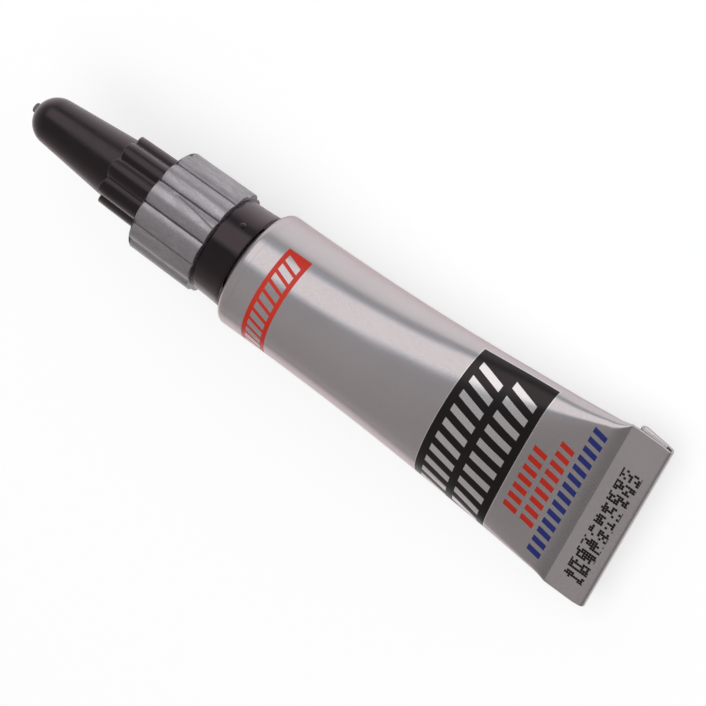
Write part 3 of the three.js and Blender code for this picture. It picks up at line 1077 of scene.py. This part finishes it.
def printed_lacquer(colours, tube, layout):
    """Silver lacquer with plain print panels, on the place that each point had on the round tube."""
    material, tree, shader = new_material("Printed silver lacquer")
    masks, inked = print_masks(tree, tube, layout)
    place = object_place(tree)
    cloud = noise(tree, place, scale=120.0, detail=3.0)["Fac"]
    speck = noise(tree, place, scale=6000.0, detail=2.0)["Fac"]
    dull = rgba(colours.silver, factor=0.93)
    silver = mix_colour(tree, cloud, dull, rgba(colours.silver, factor=1.05))
    flecks = ranged(tree, speck, low=0.35, high=0.65, to_low=0.96, to_high=1.04)
    base = mix_colour(tree, 1.0, silver, flecks, "MULTIPLY")
    layers = {
        "line": rgba(colours.silver, factor=0.9),
        "outline": rgba(colours.pale),
        "red": rgba(colours.red),
        "red_rows": rgba(colours.row_red),
        "black": rgba(colours.black),
        "blue": rgba(colours.blue),
    }
    for name, ink in layers.items():
        base = mix_colour(tree, masks[name], base, ink)
    flake = math_node(tree, "MULTIPLY_ADD", inked, -METAL_SHARE, METAL_SHARE)
    gloss = ranged(tree, cloud, low=0.3, high=0.7, to_low=0.17, to_high=0.22)
    rough = math_node(tree, "MULTIPLY_ADD", inked, INK_DULLNESS, gloss)
    drawn = node(tree, "ShaderNodeMapping", {"Vector": place, "Scale": (40.0, 240.0, 240.0)})
    dents = noise(tree, drawn.outputs["Vector"], scale=1.0, detail=1.0)["Fac"]
    relief = math_node(tree, "MULTIPLY_ADD", dents, DENT_SHARE, speck)
    normal = bump(tree, relief, depth=0.0012 * MM)
    feed(tree, shader, {"Base Color": base, "Metallic": flake, "Roughness": rough})
    feed(tree, shader, {"Normal": normal, "Specular Tint": rgba(colours.ink_sheen)})
    return material


def metal(name, tone, roughness, scale, depth):
    """Bare metal with a fine grain."""
    material, tree, shader = new_material(name)
    grain = noise(tree, object_place(tree), scale, detail=4.0)["Fac"]
    base = mix_colour(tree, grain, rgba(tone, factor=0.85), rgba(tone))
    polished = roughness - 0.06
    worn = roughness + 0.08
    spread = ranged(tree, grain, low=0.0, high=1.0, to_low=polished, to_high=worn)
    normal = bump(tree, grain, depth)
    feed(tree, shader, {"Base Color": base, "Roughness": spread, "Normal": normal})
    feed(tree, shader, {"Metallic": 1.0})
    return material


# Operators


class GLUETUBE_OT_stage(bpy.types.Operator):
    """Makes the floor, the light and the camera"""

    bl_idname = "glue_tube.stage"
    bl_label = "Stage"

    def execute(self, context):
        stage = context.scene.glue_stage
        colours = context.scene.glue_colours
        self.floor(stage, colours)
        self.room(context, stage, colours)
        self.lamps(context, stage, colours)
        self.camera(context, stage)
        context.scene.view_settings.view_transform = "Standard"
        return {"FINISHED"}

    def floor(self, stage, colours):
        """A pale floor, which the camera sees as white under the tube's shadow, and which reflections
        see with a painted pool of light round the tube.
        """
        clear_selection()
        bpy.ops.mesh.primitive_plane_add(size=stage.floor, location=(0, 0, -FLOOR_DROP))
        floor = bpy.context.object
        floor.name = "floor"
        material, tree, shader = new_material("Pale floor")
        feed(tree, shader, {"Roughness": 0.9, "Specular IOR Level": 0.1})
        rays = node(tree, "ShaderNodeLightPath").outputs
        # Painted pool of light: for reflected rays the floor's colour is brighter by the tube and fades
        # with distance from it.
        reach = math_node(tree, "DIVIDE", vector_length(tree, object_place(tree)), stage.painted_pool_reach)
        falling = math_node(tree, "MULTIPLY_ADD", reach, reach, 1.0)
        painted_pool_rise = math_node(tree, "DIVIDE", stage.painted_pool_near - stage.painted_pool_far, falling)
        shine = math_node(tree, "ADD", painted_pool_rise, stage.painted_pool_far)
        mirrored = math_node(tree, "MAXIMUM", rays["Is Glossy Ray"], rays["Is Transmission Ray"])
        painted_pool_floor = mix_colour(tree, 1.0, rgba(colours.floor), shine, "MULTIPLY")
        faint = rgba(colours.floor, factor=stage.floor_share)
        base = mix_colour(tree, rays["Is Camera Ray"], rgba(colours.floor), faint)
        base = mix_colour(tree, mirrored, base, painted_pool_floor)
        glow = math_node(tree, "MULTIPLY", rays["Is Camera Ray"], stage.glow)
        feed(tree, shader, {"Base Color": base, "Emission Strength": glow})
        feed(tree, shader, {"Emission Color": (1, 1, 1, 1)})
        floor.data.materials.append(material)

    def room(self, context, stage, colours):
        """The room, cool on the softbox's side, brighter low down and dim behind the tail."""
        world = bpy.data.worlds.new("Room")
        world.use_nodes = True
        tree = world.node_tree
        background = tree.nodes["Background"]
        way = node(tree, "ShaderNodeTexCoord").outputs["Generated"]
        parts = node(tree, "ShaderNodeSeparateXYZ", {0: way}).outputs
        far = ranged(tree, parts["Y"], low=-0.5, high=0.3)
        tint = mix_colour(tree, far, rgba(colours.cool), rgba(colours.warm))
        level = ranged(
            tree,
            parts["Z"],
            low=0.0,
            high=0.4,
            to_low=stage.room + stage.horizon,
            to_high=stage.room,
            interpolation_type="SMOOTHSTEP",
        )
        shade = ranged(tree, parts["X"], low=-0.8, high=0.1, to_low=stage.tail_shade)
        strength = math_node(tree, "MULTIPLY", level, shade)
        feed(tree, background, {"Color": tint, "Strength": strength})
        context.scene.world = world

    def lamps(self, context, stage, colours):
        """The softbox with its dim edge, and the fill overhead."""
        width = stage.softbox_width
        depth = stage.softbox_depth
        spread = stage.edge_spread
        middle = stage.softbox * (1 - stage.softbox_edge)
        edge = stage.softbox * stage.softbox_edge
        rise = stage.softbox_height
        place = Vector((0, -math.cos(rise), math.sin(rise))) * stage.softbox_distance
        softbox = self.panel(context, "softbox", place, width, depth, middle)
        softbox.data.color = colours.light
        dim = self.panel(context, "softbox_edge", place, width * spread, depth * spread, edge)
        dim.data.color = colours.edge_light
        above = Vector((0, 0, stage.fill_height))
        fill = self.panel(context, "fill", above, stage.fill_size, stage.fill_size, stage.fill)
        fill.visible_glossy = False

    def panel(self, context, name, place, width, depth, brightness):
        """A rectangle of light that faces the tube."""
        lamp = bpy.data.lights.new(name, "AREA")
        lamp.shape = "RECTANGLE"
        lamp.size = width
        lamp.size_y = depth
        lamp.energy = brightness * math.pi * width * depth
        panel = bpy.data.objects.new(name, lamp)
        context.scene.collection.objects.link(panel)
        panel.location = place
        panel.rotation_mode = "QUATERNION"
        panel.rotation_quaternion = place.to_track_quat("Z", "Y")
        return panel

    def camera(self, context, stage):
        """The camera that took the photo."""
        data = bpy.data.cameras.new("photo_camera")
        data.sensor_width = SENSOR_WIDTH_MM
        data.lens = stage.focal_pixels * SENSOR_WIDTH_MM / PHOTO_PIXELS
        data.clip_start = 0.01
        data.clip_end = 100
        camera = bpy.data.objects.new("photo_camera", data)
        context.scene.collection.objects.link(camera)
        level = math.cos(stage.elevation)
        sideways = math.sin(stage.azimuth) * level
        towards = math.cos(stage.azimuth) * level
        back = Vector((sideways, -towards, math.sin(stage.elevation)))
        camera.location = Vector(stage.aim) + back * stage.distance
        camera.rotation_mode = "QUATERNION"
        upright = (-back).to_track_quat("-Z", "Y")
        camera.rotation_quaternion = upright @ Quaternion((0, 0, 1), stage.roll)
        context.scene.camera = camera


class GLUETUBE_OT_tube(bpy.types.Operator):
    """Makes the collapsible tube with its folded end and the thread on its neck"""

    bl_idname = "glue_tube.tube"
    bl_label = "Tube"

    def execute(self, context):
        sizes = context.scene.glue_tube
        colours = context.scene.glue_colours
        tube = turned("tube_body", tube_stations(sizes), TUBE_POINTS)
        reshape(tube, crowd_sides)
        self.keep_sheet(tube)
        reshape(tube, lambda point: press(sizes, point))
        smooth(tube, sharp=35)
        lacquer = printed_lacquer(colours, sizes, context.scene.glue_print)
        set_down(tube, "tube", lacquer, "tube_lacquer", "tube_shell")
        thread = thread_ridge(
            "neck_thread",
            first=shoulder_x(sizes, sizes.neck) + sizes.neck_pitch,
            last=neck_top(sizes) - sizes.neck_free * sizes.neck_pitch,
            core=sizes.neck_core,
            crest=sizes.neck,
            lead=sizes.neck_pitch,
        )
        bare = metal(
            "Bare aluminium", colours.bare, roughness=0.3, scale=4000.0, depth=0.002 * MM
        )
        set_down(thread, "tube", bare, "tube_lacquer")
        film = self.hem_film(sizes)
        pale = moulded_plastic(
            "Seal film", colours.film, roughness=0.35, grain_size=0.15 * MM, grain_depth=0.01 * MM
        )
        set_down(film, "tube", pale, "latex")
        return {"FINISHED"}

    def hem_film(self, sizes):
        """The seal film that fills the rolled edge of the hem."""
        runs = [run for run, _, _ in fold_runs(sizes)]
        roll, back = runs[-2:]
        end = sum(runs)
        section = []
        for distance in spaced(end - back - roll - back, end, FILM_STEPS):
            place, face = folded(sizes, distance)
            section.append(place - face * (sizes.wall + sizes.film_gap))
        half = math.pi * sizes.radius / 2 - sizes.film_inset
        clear_selection()
        bpy.ops.mesh.primitive_circle_add(vertices=len(section), fill_type="NGON")
        film = bpy.context.object
        film.name = "hem_film"
        for vertex, place in zip(film.data.vertices, section):
            vertex.co = place - Vector((0, half, 0))
        edit_all()
        bpy.ops.mesh.extrude_region_move(TRANSFORM_OT_translate={"value": (0, 2 * half, 0)})
        bpy.ops.mesh.select_all(action="SELECT")
        bpy.ops.mesh.normals_make_consistent(inside=False)
        bpy.ops.object.mode_set(mode="OBJECT")
        smooth(film)
        return film

    def keep_sheet(self, tube):
        """Keeps each point's place on the round tube, where the print was laid on."""
        sheet = tube.data.attributes.new(SHEET, "FLOAT_VECTOR", "POINT")
        for vertex, kept in zip(tube.data.vertices, sheet.data):
            kept.vector = vertex.co


class GLUETUBE_OT_ring(bpy.types.Operator):
    """Makes the neck ring with its moulding mark"""

    bl_idname = "glue_tube.ring"
    bl_label = "Neck ring"

    def execute(self, context):
        tube = context.scene.glue_tube
        sizes = context.scene.glue_nozzle
        bore = tube.neck + sizes.gap
        rear = ring_rear_x(sizes)
        front = rear + sizes.ring + sizes.ring_reach
        edge = sizes.ring_edge
        rear_at_bore = rear + shoulder_x(tube, bore) - shoulder_x(tube, sizes.ring_rear)
        side = []
        for way in spaced(0, 1, RING_STEPS):
            radius = sizes.ring_rear + (sizes.ring_front - sizes.ring_rear) * way
            waist = sizes.ring_waist * math.sin(math.pi * way)
            side.append((rear + edge + (front - rear - 2 * edge) * way, radius - waist))
        rear_round = arc(rear + edge, sizes.ring_rear - edge, edge, -QUARTER_TURN, 0, EDGE_STEPS)
        front_round = arc(front - edge, sizes.ring_front - edge, edge, 0, QUARTER_TURN, EDGE_STEPS)
        start = (rear_at_bore, bore)
        stations = [start, *rear_round[:-1], *side, *front_round[1:], (front, bore), start]
        ring = turned("ring_body", stations, RING_POINTS)
        smooth(ring)
        ring = join("ring_body", ring, self.pip(sizes, rear))
        jet = jet_plastic("Ring plastic", context.scene.glue_colours, roughness=0.16)
        set_down(ring, "ring", jet, "black_plastic", "neck_ring")
        return {"FINISHED"}

    def pip(self, sizes, rear):
        """A dome where the plastic was fed in."""
        clear_selection()
        way = (sizes.pip_x - rear) / sizes.ring
        radius = sizes.ring_rear + (sizes.ring_front - sizes.ring_rear) * way - sizes.ring_waist
        bpy.ops.mesh.primitive_uv_sphere_add(segments=20, ring_count=10, radius=sizes.pip)
        pip = bpy.context.object
        place = polar(sizes.pip_x, radius, sizes.pip_angle)
        turn = polar(0, 1, sizes.pip_angle).to_track_quat("Z", "Y").to_matrix()
        reshape(pip, lambda point: place + turn @ point)
        smooth(pip, sharp=60)
        return pip


class GLUETUBE_OT_nozzle(bpy.types.Operator):
    """Makes the nozzle with its fluted grip, spike, threaded land and spout"""

    bl_idname = "glue_tube.nozzle"
    bl_label = "Nozzle"

    def execute(self, context):
        tube = context.scene.glue_tube
        sizes = context.scene.glue_nozzle
        rear = grip_rear_x(sizes)
        front = grip_front_x(sizes)
        stations = self.stations(tube, sizes, rear, front)
        nozzle = turned("nozzle_body", stations, sizes.lobes * LOBE_POINTS)
        reshape(nozzle, lambda point: self.fluted(sizes, rear, front, point))
        smooth(nozzle, sharp=28)
        threads = [
            thread_ridge(
                f"land_thread_{i}",
                first=front + sizes.land_thread_start,
                last=front + sizes.land_length - sizes.land_thread_end,
                core=sizes.land_core,
                crest=sizes.land,
                lead=sizes.land_lead,
                turn=FULL_TURN * i / sizes.land_starts,
            )
            for i in range(sizes.land_starts)
        ]
        nozzle = join("nozzle_body", nozzle, *threads)
        grey = grip_plastic(context.scene.glue_colours)
        set_down(nozzle, "nozzle", grey, "grey_plastic", "nozzle")
        return {"FINISHED"}

    def stations(self, tube, sizes, rear, front):
        """The nozzle's section: bore, ceiling, spike, spout, land and grip."""
        bore = tube.neck + sizes.gap
        spike_tip = neck_top(tube) + sizes.gap + sizes.membrane + sizes.spike_clear
        ceiling = spike_tip + sizes.spike
        tip = front + sizes.spout
        land_end = front + sizes.land_length
        tip_round = sizes.spout_round
        edge = sizes.grip_edge
        start = (rear, bore)
        inside = [
            (ceiling, bore),
            (ceiling, sizes.spike_root),
            (spike_tip, sizes.spike_tip),
            (spike_tip + tip_round, sizes.orifice),
            (tip, sizes.orifice),
        ]
        spout = arc(
            tip - tip_round, sizes.spout_tip - tip_round, tip_round, QUARTER_TURN, 0, SPOUT_STEPS
        )
        spout += [
            (land_end + sizes.chamfer, sizes.spout_root),
            (land_end, sizes.land_core),
            (front, sizes.land_core),
        ]
        crest_front = sizes.grip_front
        crest_rear = sizes.grip_rear
        grip = arc(front - edge, crest_front - edge, edge, QUARTER_TURN, 0, EDGE_STEPS)
        for way in spaced(1, 0, GRIP_STEPS)[1:-1]:
            x = rear + edge + (sizes.grip - 2 * edge) * way
            grip.append((x, crest_rear + (crest_front - crest_rear) * way))
        grip += arc(rear + edge, crest_rear - edge, edge, 0, -QUARTER_TURN, EDGE_STEPS)
        return [start, *inside, *spout, *grip, start]

    def fluted(self, sizes, rear, front, point):
        """Rounds the lobes and cuts the grooves between them and the wedge's line."""
        copy, part = lobe_place(point, sizes.lobes)
        column = round(part * LOBE_POINTS)
        part = lobe_part(sizes, point.x, copy, column)
        radius = math.hypot(point.y, point.z)
        crest = min(sizes.grip_front, sizes.grip_rear)
        on_side = rear - PLACE_SLACK <= point.x <= front + PLACE_SLACK
        if on_side and radius > crest - GRIP_SKIN:
            radius -= flute(sizes, point.x, copy, column, part)
        turn = sizes.first_groove + FULL_TURN * (copy + part) / sizes.lobes
        return polar(point.x, radius, turn)


class GLUETUBE_OT_cap(bpy.types.Operator):
    """Makes the ribbed cap with its gate nub, and its clearing pin"""

    bl_idname = "glue_tube.cap"
    bl_label = "Cap"

    def execute(self, context):
        nozzle = context.scene.glue_nozzle
        sizes = context.scene.glue_cap
        colours = context.scene.glue_colours
        rear = grip_front_x(nozzle) + nozzle.gap
        cap = turned("cap_body", self.stations(nozzle, sizes, rear), sizes.ribs * RIB_POINTS)
        reshape(cap, lambda point: self.ribbed(sizes, rear, point))
        smooth(cap, sharp=32)
        jet = jet_plastic("Cap plastic", colours, roughness=0.27)
        set_down(cap, "cap", jet, "black_plastic", "cap_shell")
        self.nub(sizes, colours, rear)
        self.pin(nozzle, sizes, colours)
        return {"FINISHED"}

    def stations(self, nozzle, sizes, rear):
        """The cap's section from the nub over the nose and skirt to the pin's socket."""
        tip = rear + sizes.cap
        rib_front = rear + sizes.skirt
        slope = math.tan(sizes.nose_taper)
        ball = (sizes.nose_root - slope * (tip - rib_front)) / (
            1 / math.cos(sizes.nose_taper) - slope
        )
        apex = QUARTER_TURN - APEX_HOLE
        stations = arc(tip - ball, 0, ball, apex, sizes.nose_taper, BALL_STEPS)
        ball_end = stations[-1][0]
        for x in spaced(ball_end, rib_front + NOSE_MARGIN, NOSE_STEPS)[1:]:
            stations.append((x, self.nose(sizes, rib_front, x)))
        crest = self.crest(sizes, rear, rib_front)
        for turn in spaced(0, QUARTER_TURN, RIB_END_STEPS):
            stations.append((rib_front - sizes.rib_round * (1 - math.cos(turn)), crest))
        edge = sizes.edge
        for x in spaced(rib_front - sizes.rib_round, rear + edge, SKIRT_STEPS)[1:]:
            stations.append((x, self.crest(sizes, rear, x)))
        thread_bore = nozzle.land + nozzle.gap
        land_end = rear + nozzle.land_length
        inner_end = rear + nozzle.spout
        socket = sizes.pin + nozzle.gap
        return stations + [
            (rear, sizes.rib_rear - edge),
            (rear, thread_bore + edge),
            (rear + edge, thread_bore),
            (land_end, thread_bore),
            (land_end + nozzle.chamfer, nozzle.spout_root + nozzle.gap),
            (inner_end, nozzle.spout_tip + nozzle.gap),
            (inner_end, socket),
            (inner_end + sizes.socket, socket),
        ]

    def crest(self, sizes, rear, x):
        """Outside of the ribs at a place along the axis."""
        return sizes.rib_rear + (sizes.rib_front - sizes.rib_rear) * (x - rear) / sizes.skirt

    def nose(self, sizes, rib_front, x):
        """Outside of the nose's cone at a place along the axis."""
        return sizes.nose_root + (rib_front - x) * math.tan(sizes.nose_taper)

    def ribbed(self, sizes, rear, point):
        """Cuts the grooves between the ribs and rounds the ribs' front ends down to the nose."""
        copy, part = lobe_place(point, sizes.ribs)
        x = point.x
        radius = math.hypot(point.y, point.z)
        if radius > sizes.rib_front - RIB_SKIN:
            rib_front = rear + sizes.skirt
            dip = abs(1 - 2 * part) ** sizes.rib_crown
            back = min(1.0, (rib_front - x) / sizes.rib_round)
            stand = math.sqrt(max(0.0, 1 - (1 - back) ** 2))
            x -= sizes.rib_scallop * dip * ((x - rear) / sizes.skirt) ** SCALLOP_POWER
            nose = self.nose(sizes, rib_front, x)
            radius = nose + (radius - sizes.rib_depth * dip - nose) * stand
        turn = sizes.first_rib + FULL_TURN * (copy + part) / sizes.ribs
        return polar(x, radius, turn)

    def nub(self, sizes, colours, rear):
        """The nub where the plastic was fed in, rough where it was broken off, with a painted
        highlight: its pale tone stands in for the glint on its sides.
        """
        tip = rear + sizes.cap
        top = tip + sizes.nub_height
        stations = [
            (tip - sizes.nub_sink, sizes.nub),
            (top - sizes.nub_edge, sizes.nub),
            (top, sizes.nub - sizes.nub_edge),
        ]
        nub = turned("gate_nub", stations, PIN_POINTS)
        smooth(nub)
        # Painted highlight: the nub is coloured pale in place of the glint on its sides.
        painted_nub_glint = moulded_plastic(
            "Nub painted glint", colours.painted_nub_glint, roughness=0.6, grain_size=0.1 * MM, grain_depth=0.02 * MM
        )
        set_down(nub, "cap", painted_nub_glint, "black_plastic")

    def pin(self, nozzle, sizes, colours):
        """The pin that sits in the cap and keeps the orifice clear."""
        tip = grip_front_x(nozzle) + nozzle.spout
        rear = tip + sizes.socket
        end = tip - sizes.reach
        chamfer = sizes.pin_chamfer
        stations = [
            (end, sizes.point_radius - chamfer),
            (end + chamfer, sizes.point_radius),
            (end + sizes.point, sizes.pin),
            (rear - chamfer, sizes.pin),
            (rear, sizes.pin - chamfer),
        ]
        pin = turned("pin_wire", stations, PIN_POINTS)
        smooth(pin)
        steel = metal("Pin steel", colours.steel, roughness=0.25, scale=3000.0, depth=0.002 * MM)
        set_down(pin, "pin", steel, "pin_steel", "seal_pin")


class GLUETUBE_OT_filling(bpy.types.Operator):
    """Makes the glue and gives the membrane and the end seal their finishes"""

    bl_idname = "glue_tube.filling"
    bl_label = "Filling"

    def execute(self, context):
        colours = context.scene.glue_colours
        finishes = {
            "neck_membrane": metal(
                "Foil", colours.foil, roughness=0.25, scale=2500.0, depth=0.004 * MM
            ),
            "end_seal": moulded_plastic(
                "Latex", colours.latex, roughness=0.6, grain_size=0.2 * MM, grain_depth=0.01 * MM
            ),
        }
        for name, finish in finishes.items():
            mesh = frame["nodes"][name].data
            mesh.materials.clear()
            mesh.materials.append(finish)
        sizes = context.scene.glue_tube
        stations = cavity_stations(sizes, -sizes.glue, sizes.glue_gap)
        glue = turned("glue_body", stations, RING_POINTS)
        reshape(glue, lambda point: press(sizes, point))
        smooth(glue)
        gel = moulded_plastic(
            "Glue", colours.glue, roughness=0.2, grain_size=1.5 * MM, grain_depth=0.01 * MM
        )
        set_down(glue, "tube", gel, "glue", "glue_charge")
        return {"FINISHED"}


class GLUETUBE_PT_panel(bpy.types.Panel):
    """Lists the steps that build the glue tube"""

    bl_idname = "GLUETUBE_PT_panel"
    bl_label = "Glue Tube"
    bl_space_type = "VIEW_3D"
    bl_region_type = "UI"
    bl_category = "Glue Tube"

    def draw(self, context):
        for operator in OPERATORS:
            self.layout.operator(operator.bl_idname)


SETTINGS = {
    "glue_tube": TubeSizes,
    "glue_nozzle": NozzleSizes,
    "glue_cap": CapSizes,
    "glue_print": PrintSizes,
    "glue_colours": Colours,
    "glue_stage": StageSettings,
}
OPERATORS = (
    GLUETUBE_OT_stage,
    GLUETUBE_OT_tube,
    GLUETUBE_OT_ring,
    GLUETUBE_OT_nozzle,
    GLUETUBE_OT_cap,
    GLUETUBE_OT_filling,
)


def register():
    for group in SETTINGS.values():
        bpy.utils.register_class(group)
    for kind in (*OPERATORS, GLUETUBE_PT_panel):
        bpy.utils.register_class(kind)
    for name, group in SETTINGS.items():
        setattr(bpy.types.Scene, name, PointerProperty(type=group))


def unregister():
    for name in SETTINGS:
        delattr(bpy.types.Scene, name)
    for kind in (GLUETUBE_PT_panel, *reversed(OPERATORS)):
        bpy.utils.unregister_class(kind)
    for group in SETTINGS.values():
        bpy.utils.unregister_class(group)


def main():
    register()
    bpy.ops.glue_tube.stage()
    bpy.ops.glue_tube.tube()
    bpy.ops.glue_tube.ring()
    bpy.ops.glue_tube.nozzle()
    bpy.ops.glue_tube.cap()
    bpy.ops.glue_tube.filling()
    clear_selection()


if __name__ == "__main__":
    main()
